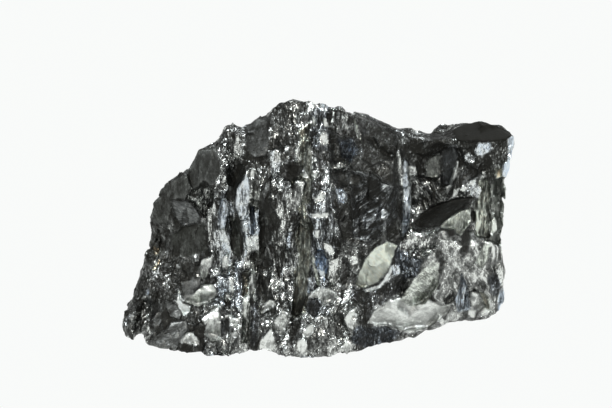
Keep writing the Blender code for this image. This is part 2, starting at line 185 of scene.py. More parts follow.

# Clean faces, bright strips and glints. The glints, the white spots and the bright rims are painted
# highlights;
# the light tone of the pale faces and the bright strips is partly the coal's own gloss and partly painted
# reflection of the bright floor; the low tone of up-facing faces such as the top wedge and the ledge is
# partly painted shade. Those without a facing are colour alone: stains and fine lines.
FACES = {
    "leaf": Patch(((356, 285), (357, 277), (360, 270), (366, 258), (375, 247), (388, 241), (398, 245),
        (393, 258), (387, 272), (378, 282), (364, 288)),
        0.87, (-10, -8), -0.6, blue=-0.45, grain=0.0, streak=0.05, slant=40),
    "leaf rim": Patch(((364, 290), (378, 285), (387, 275), (391, 265), (393, 268), (389, 279), (380, 288),
        (366, 293)), 1.0, (0, -14), -0.3, blue=0.1),
    "glint by the leaf": Patch(((392, 264), (400, 266), (400, 274), (393, 276)),
        0.86, (0, 0), blue=0.3, grain=0.8),
    "big low face": Patch(((366, 323), (378, 308), (390, 299), (408, 295), (425, 298), (440, 305),
        (450, 308), (440, 320), (425, 328), (405, 331), (390, 325)),
        0.86, (22, -12), 0.2, grain=0.1, streak=0.06, slant=60),
    "low right face": Patch(((444, 322), (450, 311), (461, 313), (459, 320)), 0.82, (26, -8), 0.2),
    "pale upright right": Patch(((446, 262), (456, 270), (452, 280), (455, 299), (445, 305), (439, 290),
        (442, 274)), 0.66, (30, -8), 0.3, grain=0.5),
    "upper cracked face": Patch(((412, 232), (434, 230), (436, 248), (424, 260), (410, 256), (406, 244)),
        0.62, (4, -2), 0.2, grain=1.0),
    "blue grey upright": Patch(((461, 272), (468, 288), (470, 310), (458, 312), (455, 300), (460, 285)),
        0.62, (40, 4), 0.4, blue=0.5, streak=0.8),
    "far right pale": Patch(((471, 291), (478, 293), (486, 308), (479, 312), (470, 303)),
        0.88, (20, -10), 0.1, grain=0.2),
    "far right brown": Patch(((479, 291), (488, 296), (490, 310), (486, 309)),
        0.5, (46, -2), 0.2, blue=-0.7),
    "glint at the foot": Patch(((468, 310), (476, 310), (474, 318), (468, 317)), 1.0, (10, -4)),
    "under the ledge": Patch(((438, 226), (450, 216), (462, 210), (471, 208), (470, 222), (462, 236),
        (456, 234), (455, 229), (446, 229)), 0.74, (16, -8), -0.2, blue=-0.4, grain=0.25),
    "under the ledge low": Patch(((440, 238), (455, 241), (463, 246), (456, 258), (444, 252), (436, 246)),
        0.76, (10, 0), 0.1, grain=0.7),
    "strip left": Patch(((478, 182), (486, 178), (490, 186), (489, 238), (476, 236), (474, 208)),
        0.64, AS_IS, 0.1, blue=-0.45, grain=0.25, streak=0.7),
    "strip right": Patch(((491, 180), (504, 178), (508, 192), (504, 206), (506, 224), (501, 246),
        (490, 240)), 0.56, AS_IS, blue=-0.25, grain=0.22, streak=0.2),
    "sliver": Patch(((490, 222), (496, 218), (497, 231), (491, 236)), 0.9, (10, -10), -0.3, blue=-0.2),
    "pale blade": Patch(((476, 262), (484, 243), (491, 240), (487, 262), (480, 269)),
        0.78, (4, -4), -0.3, blue=-0.3, streak=0.5),
    "green strip": Patch(((491, 243), (498, 246), (499, 269), (491, 271)), 0.78, (32, -2), streak=0.6),
    "right rim": Patch(((507, 138), (514, 134), (515, 152), (512, 164), (508, 178), (501, 176), (503, 166),
        (508, 158)), 0.92, AS_IS, blue=0.45, grain=0.2),
    "right foot rim": Patch(((499, 292), (507, 284), (507, 306), (497, 312)),
        0.86, AS_IS, blue=0.5, streak=0.4),
    "stain at the right": Patch(((495, 169), (502, 168), (502, 177), (496, 178)), 0.74, blue=-0.9),
    "top wedge": Patch(((452, 130), (470, 121), (485, 122), (500, 128), (514, 134), (507, 139), (490, 142),
        (458, 141)), -0.3, AS_IS, blue=-0.3, grain=0.12),
    "wall pale": Patch(((426, 162), (434, 156), (440, 154), (440, 166), (438, 179), (425, 177)),
        0.6, AS_IS, blue=-0.2, grain=0.2, streak=0.15),
    "wall grey": Patch(((441, 151), (457, 143), (457, 162), (451, 184), (441, 186)),
        0.44, AS_IS, 0.3, blue=0.2, streak=0.15),
    "wall blade": Patch(((444, 193), (450, 180), (456, 160), (459, 160), (457, 176), (448, 194)),
        0.8, (20, -4), -0.2, grain=0.2),
    "wall glint": Patch(((474, 150), (478, 143), (490, 142), (493, 150), (484, 155), (476, 155)),
        0.92, (-6, 1), -0.2, blue=0.4, grain=0.5),
    "wall glint low": Patch(((463, 156), (468, 152), (476, 157), (474, 163), (465, 162)),
        0.82, (6, 0), -0.1, blue=0.2, grain=0.8),
    "wall ring": Patch(((462, 186), (474, 179), (482, 190), (478, 199), (470, 198), (472, 190), (464, 193)),
        0.84, (-4, 0), -0.1, blue=0.2, grain=1.0),
    "ledge": Patch(((414, 224), (424, 212), (436, 205), (452, 199), (472, 196), (478, 199), (462, 209),
        (450, 217), (440, 226), (420, 228)), 0.14, (-50, 62), 0.3, streak=0.2, slant=-60),
    "ridge left": Patch(((397, 150), (401, 150), (402, 172), (404, 186), (400, 186), (397, 170)),
        0.72, (-8, 2), -0.5, grain=0.6),
    "ridge": Patch(((404, 158), (408, 162), (408, 180), (411, 186), (411, 212), (408, 228), (402, 240),
        (402, 226), (404, 200), (402, 178)), 0.84, (-8, 2), -0.9, blue=0.4, grain=0.4, streak=0.5),
    "ridge foot": Patch(((411, 226), (404, 240), (398, 250), (408, 252), (418, 240)),
        0.7, (14, -2), -0.2, grain=0.9),
    "pale by the ridge": Patch(((407, 166), (416, 166), (417, 174), (409, 176)), 0.78, (10, -6)),
    "glassy face top": Patch(((362, 120), (376, 122), (394, 136), (394, 158), (372, 166), (362, 160)),
        0.16, AS_IS, grain=0.4, streak=0.4, slant=-30),
    "glints under the hood": Patch(((334, 188), (342, 188), (347, 196), (345, 204), (338, 202)),
        0.86, (-4, 2), -0.1, blue=0.5, grain=1.0),
    "glints over the hood": Patch(((330, 163), (346, 161), (346, 167), (332, 171)),
        0.74, (-4, 4), grain=1.0),
    "dull band top": Patch(((305, 142), (311, 144), (313, 176), (311, 205), (301, 205), (296, 196),
        (304, 180)), 0.42, AS_IS, blue=-0.4, grain=0.4, streak=0.4),
    "dull band": Patch(((300, 205), (310, 205), (311, 240), (311, 262), (307, 296), (299, 316), (291, 318),
        (296, 280), (299, 240)), 0.42, AS_IS, 0.1, blue=-0.5, streak=0.4),
    "crest streak": Patch(((298, 144), (301, 144), (299, 150), (298, 156), (301, 160), (298, 162),
        (295, 157), (296, 149)), 0.95, (-6, 0), -0.3, grain=0.5),
    "bright patch by the pocket": Patch(((269, 150), (278, 148), (281, 162), (279, 180), (271, 178)),
        0.8, (-6, 0), -0.1, blue=0.2, grain=1.0),
    "fan": Patch(((296, 178), (306, 182), (300, 206), (292, 214), (286, 204)),
        0.55, (-10, 8), grain=0.6, streak=0.8),
    "bright strip": Patch(((242, 178), (249, 176), (250, 200), (248, 216), (240, 217), (235, 208),
        (235, 192)), 0.86, (-10, 2), -0.2, blue=0.3, grain=0.4, streak=0.8),
    "bright strip low": Patch(((246, 236), (259, 235), (260, 252), (246, 250)),
        0.98, AS_IS, blue=0.1, grain=0.7, streak=0.9),
    "strip foot": Patch(((243, 300), (245, 282), (252, 270), (255, 276), (251, 304), (250, 344), (241, 344)),
        0.66, (4, 2), -0.4, blue=-0.1, grain=0.4, streak=0.7),
    "olive bit": Patch(((243, 272), (248, 270), (248, 294), (243, 296)), 0.34, blue=-0.8, grain=0.6),
    "silver strip top": Patch(((220, 200), (227, 200), (229, 222), (226, 228), (218, 228), (218, 212)),
        0.62, (-12, 6), blue=0.45, grain=0.4, streak=0.7),
    "silver strip": Patch(((215, 228), (226, 228), (229, 240), (222, 244), (218, 250), (214, 240)),
        0.86, AS_IS, blue=0.15, grain=0.7, streak=0.9),
    "thin pale strip": Patch(((207, 210), (213, 206), (214, 238), (208, 243)),
        0.76, (-14, 2), -0.3, grain=0.8, streak=0.8),
    "silver low strip": Patch(((222, 256), (228, 254), (229, 262), (227, 274), (221, 278), (222, 266)),
        1.0, (-6, 0), -0.2, grain=0.4, streak=0.5),
    "pale upper block": Patch(((201, 260), (206, 257), (212, 257), (212, 265), (208, 270), (206, 279),
        (202, 279), (200, 270)), 0.86, (-4, -2), -0.1, grain=0.25),
    "grey facet": Patch(((182, 282), (192, 279), (200, 276), (202, 284), (190, 298), (183, 302)),
        0.54, AS_IS, 0.2, grain=0.12),
    "pale facet": Patch(((204, 284), (212, 284), (217, 291), (217, 296), (208, 303), (198, 306), (183, 302),
        (190, 297), (197, 290)), 0.84, (2, -12), blue=-0.1, grain=0.15),
    "white curl": Patch(((178, 288), (182, 303), (190, 307), (189, 313), (183, 316), (177, 302)),
        1.04, (-20, -6), -0.1, blue=0.1, grain=0.2),
    "grey shell": Patch(((146, 346), (156, 336), (166, 328), (172, 322), (186, 320), (187, 330), (181, 340),
        (176, 347), (164, 350)), 0.52, AS_IS, 0.2, grain=0.2, streak=0.2, slant=-60),
    "pale foot": Patch(((186, 333), (192, 331), (199, 340), (199, 345), (182, 344), (179, 341)),
        0.88, (4, -10), grain=0.2),
    "pale block": Patch(((200, 318), (210, 311), (220, 304), (220, 341), (211, 341), (204, 334), (206, 326)),
        0.86, (8, -8), grain=0.2),
    "pale block right": Patch(((226, 313), (232, 316), (238, 322), (236, 328), (231, 325)),
        0.96, (0, -8), -0.2, grain=0.2),
    "hood": Patch(((307, 302), (311, 292), (320, 287), (330, 288), (337, 294), (333, 302), (324, 304),
        (318, 298), (312, 298)), 0.84, (6, -8), -0.3),
    "small pale facet": Patch(((260, 311), (265, 302), (270, 299), (278, 303), (272, 308), (262, 313)),
        0.9, (-4, -8), -0.1, grain=0.2),
    "pale foot triangle": Patch(((259, 342), (271, 327), (275, 340), (272, 350), (259, 349)),
        0.95, (-6, -10), grain=0.2),
    "mid foot pale": Patch(((274, 320), (282, 310), (289, 312), (287, 328), (281, 336), (275, 332)),
        0.8, (8, -6), grain=0.4),
    "foot pale one": Patch(((303, 336), (306, 325), (313, 323), (314, 333), (308, 338)),
        0.92, (6, -8), grain=0.2),
    "foot pale two": Patch(((296, 350), (297, 341), (305, 338), (308, 346), (302, 353)),
        0.95, (-8, -8), grain=0.2),
    "foot pale three": Patch(((338, 351), (346, 341), (354, 344), (350, 351)), 0.9, (4, -8), grain=0.2),
    "foot curl": Patch(((344, 319), (350, 309), (357, 307), (352, 318), (353, 328), (347, 327)),
        0.9, (-10, -4), -0.2),
    "blue lens": Patch(((315, 262), (317, 250), (323, 250), (329, 265), (324, 281), (318, 273)),
        0.66, (-6, 4), 0.2, blue=1.1, grain=0.4, streak=0.5),
    "lens tip": Patch(((318, 270), (324, 270), (325, 277), (321, 282)),
        0.95, (0, 0), -0.2, blue=0.3, grain=0.2),
    "cream line": Patch(((311, 256), (313, 255), (317, 272), (321, 287), (317, 285), (314, 274)),
        0.86, (-10, 0), -0.3, blue=-0.3, grain=0.2),
    "white twist": Patch(((323, 240), (327, 242), (333, 248), (335, 254), (331, 255), (325, 249)),
        0.98, (-4, 2), -0.2, grain=0.6),
    "white twist low": Patch(((329, 260), (337, 258), (343, 252), (342, 264), (335, 274), (334, 290),
        (328, 286)), 0.86, (4, 0), -0.1, grain=0.9, streak=0.5),
    "white bit": Patch(((349, 257), (358, 254), (358, 264), (351, 266)), 0.92, (0, 0), -0.1, grain=0.9),
    "band top glint": Patch(((311, 214), (328, 212), (327, 218), (312, 218)), 1.06, (0, 0), -0.2),
    "band glint": Patch(((316, 230), (320, 229), (320, 238), (315, 238)), 1.06, (0, 0), -0.2, grain=0.2),
    "band foot strip": Patch(((308, 278), (311, 277), (310, 290), (307, 296)),
        0.88, (-14, 0), -0.1, blue=0.5, grain=0.2),
    "light grain": Patch(((287, 232), (291, 232), (291, 248), (286, 249)),
        0.7, (-8, 2), -0.2, blue=0.5, grain=0.7),
    "light grain low": Patch(((283, 268), (293, 266), (293, 280), (284, 282)),
        0.72, (-4, 2), -0.1, grain=1.0, streak=0.5),
    "left foot facet": Patch(((123, 327), (128, 321), (136, 324), (137, 336), (130, 339)),
        0.32, AS_IS, grain=0.4),
    "left foot rim": Patch(((126, 318), (132, 312), (136, 316), (129, 322), (122, 328)),
        0.6, AS_IS, -0.1, blue=0.2, grain=0.6),
    "left rim": Patch(((147, 219), (151, 218), (152, 234), (158, 241), (154, 243), (148, 234)),
        0.84, AS_IS, blue=0.45, grain=0.2),
    "left stain": Patch(((150, 238), (154, 246), (160, 250), (157, 257), (153, 254), (153, 246)),
        0.5, blue=-1.3, grain=0.6),
    "waist glint": Patch(((147, 297), (151, 296), (153, 305), (148, 303)),
        0.74, AS_IS, -0.1, blue=0.1, grain=0.4),
    "fan face": Patch(((400, 298), (410, 284), (422, 270), (432, 262), (440, 263), (438, 284), (430, 297),
        (424, 304), (408, 306)), 0.8, (26, -14), 0.1, blue=-0.2, streak=0.25, slant=35),
    "oval": Patch(((310, 299), (317, 299), (320, 306), (317, 316), (312, 317), (307, 312), (306, 305)),
        0.26, (4, 24), 0.3, blue=0.3, grain=0.4, streak=0.4),
    "bright strip middle": Patch(((247, 218), (259, 208), (260, 235), (247, 236)),
        0.78, (-4, 0), -0.1, blue=0.4, grain=0.6, streak=1.0),
    "blue core": Patch(((250, 206), (254, 206), (255, 234), (251, 236)),
        0.3, (8, 22), 0.3, blue=0.9, streak=0.4),
    "shoulder face": Patch(((199, 149), (217, 146), (221, 172), (212, 186), (192, 188), (187, 173)),
        0.36, AS_IS, blue=-0.1, grain=0.16),
    "by the upper band": Patch(((191, 189), (212, 187), (208, 201), (205, 218), (199, 211), (188, 200)),
        0.44, AS_IS, 0.2, blue=-0.1, grain=0.75, streak=0.3),
    "shoulder face left": Patch(((157, 190), (178, 177), (187, 174), (191, 187), (186, 199), (172, 200),
        (168, 224), (152, 222), (151, 202)), 0.33, AS_IS, blue=-0.1, grain=0.2),
    "scuffed": Patch(((171, 201), (188, 201), (199, 212), (200, 223), (181, 226), (175, 216)),
        0.46, AS_IS, blue=0.1, grain=0.22, streak=0.2, slant=70),
    "below the scuffed": Patch(((181, 227), (204, 224), (207, 250), (190, 257), (173, 255), (171, 236),
        (178, 231)), 0.34, AS_IS, 0.1, blue=-0.2, grain=0.2),
    "scratch": Patch(((186, 194), (189, 194), (194, 198), (200, 199), (194, 202)), 0.78, grain=0.6),
    "crest dark face": Patch(((244, 127), (258, 119), (268, 115), (270, 140), (266, 156), (254, 158),
        (246, 148)), 0.33, AS_IS, grain=0.16),
    "gully glint": Patch(((222, 184), (223, 177), (227, 174), (226, 182)), 0.95, (-10, 4), -0.2, grain=0.5),
    "white wedge": Patch(((236, 135), (240, 134), (241, 146), (240, 158), (234, 158), (233, 148)),
        0.84, (-8, 2), -0.2, grain=0.8),
    "strip top glint": Patch(((251, 168), (254, 168), (254, 178), (250, 178)), 1.0, (-4, 2), -0.2),
    "crest glint": Patch(((274, 150), (279, 148), (282, 158), (278, 164), (275, 162)),
        0.84, (-4, 2), -0.1, grain=0.8),
    "pocket glint": Patch(((303, 178), (305, 171), (309, 178)), 1.0, (-6, 0), -0.2),
    "crest white": Patch(((308, 103), (318, 102), (321, 106), (312, 109), (308, 108)),
        0.84, AS_IS, grain=0.4),
    "crest white left": Patch(((312, 116), (315, 116), (316, 125), (312, 125)), 0.98, (-4, 2), -0.2),
    "crest white upper": Patch(((323, 118), (327, 118), (329, 127), (324, 127)),
        1.06, (0, 0), -0.2, grain=0.2),
    "crest white lower": Patch(((320, 132), (327, 132), (329, 142), (327, 147), (320, 142)),
        0.98, (4, 0), -0.2, grain=0.5),
    "band white upper": Patch(((313, 157), (317, 157), (317, 161), (313, 162)),
        1.0, (0, 0), -0.2, grain=0.4),
    "band white middle": Patch(((313, 170), (318, 170), (317, 178), (313, 178)),
        0.96, (0, 0), -0.2, grain=0.4),
    "band white lower": Patch(((312, 196), (317, 198), (320, 190), (325, 192), (324, 202), (316, 203)),
        1.0, (0, 0), -0.2, grain=0.5),
    "wall stroke left": Patch(((452, 198), (454, 190), (459, 187), (458, 194), (455, 199)),
        0.92, (-4, 0), -0.2),
    "wall stroke middle": Patch(((459, 190), (463, 184), (468, 189), (463, 192)), 0.96, (-4, 0), -0.2),
    "wall stroke top": Patch(((467, 185), (470, 181), (476, 179), (472, 186)), 0.98, (-4, 0), -0.2),
    "scoop sheen": Patch(((164, 300), (176, 304), (182, 312), (180, 320), (170, 316)),
        0.4, AS_IS, 0.1, grain=0.2, streak=0.3, slant=-50),
    "little pale face": Patch(((229, 334), (236, 331), (240, 336), (232, 338)),
        0.74, (4, -4), -0.1, grain=0.2),
    "toe pale left": Patch(((129, 317), (133, 314), (137, 319), (132, 322)), 0.66, AS_IS, -0.1),
    "toe pale lower": Patch(((137, 332), (147, 328), (149, 334), (141, 339)), 0.5, AS_IS, -0.1, grain=0.5),
    "toe stroke": Patch(((131, 334), (137, 333), (144, 326), (141, 333), (133, 338)),
        0.5, AS_IS, -0.1, grain=0.4),
    "waist blue": Patch(((146, 290), (149, 288), (149, 295), (146, 295)),
        0.6, AS_IS, -0.1, blue=0.7, grain=0.4),
    "left stain low": Patch(((153, 270), (159, 259), (160, 262), (155, 272)), 0.5, blue=-1.5, grain=0.5),
    "silver low strip foot": Patch(((217, 276), (228, 274), (233, 276), (234, 298), (228, 300), (219, 292)),
        0.6, (-6, 0), -0.1, blue=0.4, grain=0.9, streak=0.6),
    "silver low strip edge": Patch(((229, 278), (234, 276), (234, 297), (231, 298)),
        0.98, (10, 0), -0.2, grain=0.5, streak=0.4),
    "silver low glint": Patch(((224, 292), (230, 294), (231, 300), (225, 301)),
        0.98, (0, 0), -0.2, grain=0.5),
    "strip foot edge": Patch(((252, 272), (255, 270), (255, 284), (251, 298), (250, 290)),
        0.94, (4, 2), -0.5),
    "strip blob": Patch(((245, 262), (250, 260), (250, 270), (246, 270)), 0.84, (0, 0), -0.2, grain=0.5),
    "foot stroke": Patch(((290, 313), (300, 318), (299, 320), (290, 316)), 0.84, (0, -6), -0.2, grain=0.2),
    "thin cream line": Patch(((353, 118), (355, 118), (361, 139), (359, 140)), 0.82, blue=-0.6, grain=0.4),
    "thin light line left": Patch(((338, 112), (340, 112), (339, 126), (337, 126)), 0.7, grain=0.5),
    "thin light line right": Patch(((345, 112), (347, 112), (348, 122), (346, 122)), 0.66, grain=0.5),
    "thin line by the wall": Patch(((361, 120), (363, 120), (365, 132), (363, 132)), 0.6, grain=0.5),
    "thin bright upright": Patch(((296, 252), (299, 252), (299, 265), (297, 265)), 0.85, grain=0.6),
    "thin bright upright left": Patch(((285, 250), (288, 250), (288, 262), (286, 262)), 0.8, grain=0.6),
    "thin bright upright low": Patch(((276, 285), (278, 285), (279, 300), (276, 300)), 0.8, grain=0.6),
    "bit in the dark band": Patch(((263, 270), (270, 268), (272, 275), (265, 278)), 0.66, grain=1.0),
}

# How deep into the lump a kind of patch reaches, and how far its edge strays and blends, in spots.
Kind = namedtuple("Kind", "patches reach ragged soft")
KINDS = (Kind(ZONES, 20.0, 3.0, 2.0), Kind(HOLLOWS, 9.0, 2.0, 1.4), Kind(FACES, 9.0, 1.0, 0.7))
PATCHES = [(kind, name, patch) for kind in KINDS for name, patch in kind.patches.items()]
RAGGED_OVER = 2.2  # the length over which a patch's edge strays
STRAYS_APART = 612  # between where its straying across and down are read from the noise
HOLLOW_SLOPE = 5.0  # how far in from its edge a hollow comes to its depth, in spots
MOST_RAISED = 1.6
MOST_CUT = 4.0
THICKNESS_TAKEN = 0.3  # the most of the coal behind it that a patch may go into, as a share
LEAST_FACED = 0.3  # the least that a face is taken to look towards the camera
TURNED_AWAY = 0.1  # a surface that looks further away from the camera than this is in no patch
FOOT_KEPT = 4.0  # the patches leave the foot of the lump as it is, up to here

# The beds stand upright across the lump: where each starts along X, and what its coal is like.
Bed = namedtuple("Bed", "start tone blue grain streak slant", defaults=(0.0,))
BEDS = (
    Bed(-70, 0.20, -0.2, 0.7, 0.3), Bed(-47, 0.18, 0.0, 0.6, 0.2), Bed(-31.5, 0.50, 0.1, 0.6, 0.9),
    Bed(-28.2, 0.72, 0.3, 0.6, 1.0), Bed(-24.9, 0.22, 0.0, 0.8, 0.5), Bed(-23.8, 0.74, 0.3, 0.6, 1.0),
    Bed(-20.8, 0.52, 0.0, 0.6, 1.0), Bed(-19.4, 0.38, -0.2, 0.5, 0.5), Bed(-16.0, 0.15, 0.0, 0.3, 0.1),
    Bed(-12.6, 0.42, 0.0, 0.7, 0.9), Bed(-9.0, 0.46, 0.1, 0.7, 0.9), Bed(-5.9, 0.34, -0.6, 0.5, 0.6),
    Bed(-2.7, 0.52, 0.3, 0.7, 0.9), Bed(1.6, 0.44, 0.2, 0.7, 0.9), Bed(4.6, 0.60, 0.0, 0.7, 1.0),
    Bed(8.2, 0.40, 0.0, 0.8, 0.5), Bed(12.0, 0.28, 0.1, 0.6, 0.3), Bed(22.5, 0.35, 0.0, 0.7, 0.4),
    Bed(36.0, 0.45, 0.0, 0.7, 0.4), Bed(46.0, 0.40, 0.0, 0.6, 0.6),
)
BED_WANDER = 3.0
WANDER_OVER = (14.0, 11.0, 8.0)
BED_LEAN = 0.06
HALF_DEPTH = 26.5
BEDS_END = (10.0, 24.0)  # the beds give way, from here to here along X, to coal that breaks like glass

# Facets from breaking: each cell of the surface is brought to one plane, by "most" at the most.
Cells = namedtuple("Cells", "size stretch lean most seed shade")
LARGE = Cells(4.5, (1, 1, 1), 0.12, 0.8, 3, 0.10)
UPRIGHT = Cells(2.0, (1, 1.5, 5), 0.20, 0.60, 5, 0.20)
MEDIUM = Cells(2.6, (1, 1, 1.4), 0.16, 0.30, 11, 0.24)
SMALL = Cells(1.2, (1, 1, 1.4), 0.16, 0.20, 17, 0.0)
# How far each kind is carried out, as a share.
LARGE_LESS_IN_BEDS = 0.6
UPRIGHT_ON_FACES = 0.25
MEDIUM_ANYWHERE, MEDIUM_MORE_IN_BEDS = 0.3, 0.5
SMALL_BY_GRAIN = 0.6
THIN = (1.0, 6.0)  # coal this thin isn't broken into large facets, and coal this thick is in full

# Painted light and shade on the tone: edges are lighter, a painted highlight, and creases darker, painted
# shade.
EDGE_HIGHLIGHT_AND_CREASE_SHADE = 0.10
EDGE_SPREAD = 3  # how many rings of neighbours an edge is told from
EDGE_PROUD = 0.12  # how far a full edge stands proud of them

# The material's patterns: how fine each is along X, Y and Z, per metre.
WOBBLE_SCALE, WOBBLE = 70.0, 0.0035
STREAK_SCALE = (1900.0, 800.0, 210.0)
RUN_SCALE = (620.0, 400.0, 170.0)
CHIP_SCALE = (1650.0, 1150.0, 780.0)
SMALL_CHIPS = 2.2  # how much finer than the chips
MOTTLE_SCALE = 420.0
# How a pattern moves the tone: as it goes over the first two values, the change goes over the last two.
# The chips' random tone is partly the coal's grain and partly painted sparkle; the sparse bright glints on
# the small chips are painted highlights.
CHIP_TONE = (0, 1, -0.3, 0.28)
SMALL_CHIP_TONE = (0, 1, -0.24, 0.24)
PAINTED_GLINT_TONE = (0.86, 0.89, 0, 0.45)
STREAK_TONE = (0.28, 0.72, -0.4, 0.4)
RUN_TONE = (0.3, 0.7, -0.45, 0.45)
LINE_TONE = (0.58, 0.68, 0, 0.4)
MOTTLE_TONE = (0.3, 0.7, -0.18, 0.26)
MOTTLE_BY_GRAIN = (0, 1, 0.3, 1)
TONE_LIFT, TONE_MOST = 0.07, 1.06
# The colour's lightness is DARKEST + SOOT at tone 0, and SOOT grows LIGHTER times as much by tone 1.
DARKEST, SOOT, LIGHTER = 0.007, 0.0095, 70.0
STAIN_BROWN, WARM_GREY = (1.0, 0.80, 0.55, 1), (0.93, 1.0, 0.88, 1)
PLAIN_GREY, BLUE = (0.97, 1.0, 0.96, 1), (0.45, 0.66, 1.0, 1)
DARK_BROWN = (1.0, 0.97, 0.80, 1)
# Written in the same way, what follows from the coldness of the sheen, the tone and the grain.
UNEVEN = (0, 1, 0.5, 1.3)
LESS_STAINED, LESS_WARM, COLD = (-1.2, -0.4, 0, 1), (-0.4, 0, 0, 1), (0, 1.5, 0, 1)
LESS_BROWN = (0.1, 0.5, 0.8, 0.2)
DARK, METALLIC, ROUGHNESS = (0.0, 0.5, 1, 0), (0.0, 0.35, 0.3, 1), (0.2, 0.7, 0.5, 0.26)
SATIN = (0.1, 0.5, 0.2, 0)  # how much rougher a smooth face is
IOR = 1.2
# How high the patterns stand, in metres.
CHIP_RELIEF, STREAK_RELIEF, RUN_RELIEF, MOTTLE_RELIEF = 0.0003, 0.0003, 0.0010, 0.0001

Light = namedtuple("Light", "at size power colour")  # in metres and watts
LIGHTS = {
    "left softbox": Light((-0.75, -0.35, 0.75), 0.2, 6.0, (0.93, 0.97, 1.0)),
    "right softbox": Light((0.80, -0.10, 0.60), 0.2, 6.0, (0.93, 0.97, 1.0)),
    "front softbox": Light((0.10, -0.90, 0.95), 0.22, 5.0, (1.0, 0.98, 0.94)),
    "back softbox": Light((0.15, 0.90, 0.85), 0.3, 6.0, (0.92, 0.96, 1.0)),
}
AIM = Vector((0, 0, 0.03))
SURROUNDINGS = (0.265, 0.265, 0.26, 1)
FLOOR_HALF = 4.0  # in metres, as is the floor's depth below the lump
FLOOR_DEPTH = 0.0005
FLOOR_COLOUR, FLOOR_GLOW = (0.985, 1.0, 0.99, 1), 0.96


def main():
    lump = dressed(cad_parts["coal_lump"])
    lump.data.materials.append(coal())
    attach(lump, "root")
    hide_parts("coal_lump")
    floor()
    lights()
    camera()


def dressed(node):
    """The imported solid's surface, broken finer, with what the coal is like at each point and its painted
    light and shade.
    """
    mesh = node.data.copy()
    mesh.materials.clear()
    put(mesh, points_of(mesh) / MM)
    mesh = with_modifier(mesh, "REMESH", mode="VOXEL", voxel_size=FORM_GRID)
    points = points_of(mesh)
    large = cells_on(mesh, points, LARGE)
    thick = smooth(*THIN, thickness_of(tree_of(mesh), points, -normals_of(mesh, points)))
    points = facet(points, large, (1 - LARGE_LESS_IN_BEDS * beds_show(points)) * thick)
    put(mesh, points)
    tree = tree_of(mesh)
    places = places_on(tree)
    thick = THICKNESS_TAKEN * thickness_of(tree, points, np.tile(AHEAD, (len(points), 1)))
    for kind, name, patch in PATCHES:
        if patch.facing or patch.sunk:
            points = set_patch(points, normals_of(mesh, points), thick, patch, places[name], kind)
    put(mesh, points)
    mesh = with_modifier(mesh, "REMESH", mode="VOXEL", voxel_size=FINE_GRID)
    points = points_of(mesh)
    finish = finish_at(points, normals_of(mesh, points), places)
    whole = 1 - finish["faced"]
    upright, medium, small = (cells_on(mesh, points, cells) for cells in (UPRIGHT, MEDIUM, SMALL))
    points = facet(points, upright, beds_show(points) * (UPRIGHT_ON_FACES + (1 - UPRIGHT_ON_FACES) * whole))
    points = facet(points, medium, (MEDIUM_ANYWHERE + MEDIUM_MORE_IN_BEDS * beds_show(points)) * whole)
    points = facet(points, small, SMALL_BY_GRAIN * finish["grain"])
    put(mesh, points)
    mesh.calc_loop_triangles()
    share = min(1.0, MOST_TRIANGLES / len(mesh.loop_triangles))
    mesh = with_modifier(mesh, "DECIMATE", ratio=share, use_collapse_triangulate=True)
    points = within_box(points_of(mesh))
    normals = normals_of(mesh, points)
    finish = finish_at(points, normals, places)
    beds = beds_show(points)
    shade = shade_of(points, large) + beds * shade_of(points, upright)
    shade += (1 - beds) * shade_of(points, medium)
    # The tone gets each cell's own lighter or darker tone, a painted highlight on edges and painted shade in
    # creases.
    finish["tone"] += (1 - finish["faced"]) * shade + EDGE_HIGHLIGHT_AND_CREASE_SHADE * edges_of(mesh, points, normals)
    for name in FINISH:
        attribute = mesh.attributes.new(name, "FLOAT", "POINT")
        attribute.data.foreach_set("value", finish[name].astype(np.float32))
    put(mesh, points * MM)
    mesh.name = "coal_surface"
    mesh.polygons.foreach_set("use_smooth", np.ones(len(mesh.polygons), bool))
    mesh.set_sharp_from_angle(angle=SHARP)
    return placed("coal_surface", mesh)


def placed(name, data):
    made = bpy.data.objects.new(name, data)
    bpy.context.scene.collection.objects.link(made)
    return made


def with_modifier(mesh, kind, **settings):
    """A new mesh: this one as a modifier leaves it."""
    holder = placed("holder", mesh)
    modifier = holder.modifiers.new(kind, kind)
    for name, value in settings.items():
        setattr(modifier, name, value)
    graph = bpy.context.evaluated_depsgraph_get()
    made = bpy.data.meshes.new_from_object(holder.evaluated_get(graph))
    bpy.data.objects.remove(holder)
    return made


def put(mesh, points):
    mesh.vertices.foreach_set("co", points.astype(np.float32).ravel())
    mesh.update()


def read(mesh, name):
    values = np.empty(len(mesh.vertices) * 3, np.float32)
    mesh.vertices.foreach_get(name, values)
    return values.reshape(-1, 3).astype(float)


def points_of(mesh):
    return read(mesh, "co")


def normals_of(mesh, points):
    """The mesh's normals with its vertices at these points, where it leaves them."""
    put(mesh, points)
    return read(mesh, "normal")


def noise_at(points, size):
    return np.array([noise.noise(Vector(p)) for p in points / np.array(size)])


def smooth(low, high, value):
    """0 up to low and 1 from high on, with a smooth step between them."""
    share = np.clip((value - low) / (high - low), 0, 1)
    return share * share * (3 - 2 * share)


def towards(azimuth, elevation):
    turn, rise = math.radians(azimuth), math.radians(elevation)
    return np.array([math.sin(turn) * math.cos(rise), -math.cos(turn) * math.cos(rise), math.sin(rise)])


def seen(points):
    """Where points are in the camera's frame, as spots of 612 x 408."""
    away = points - EYE
    far = away @ AHEAD
    return np.stack((FRAME[0] / 2 + FOCAL * away[:, 0] / far, FRAME[1] / 2 - FOCAL * (away @ UP) / far))


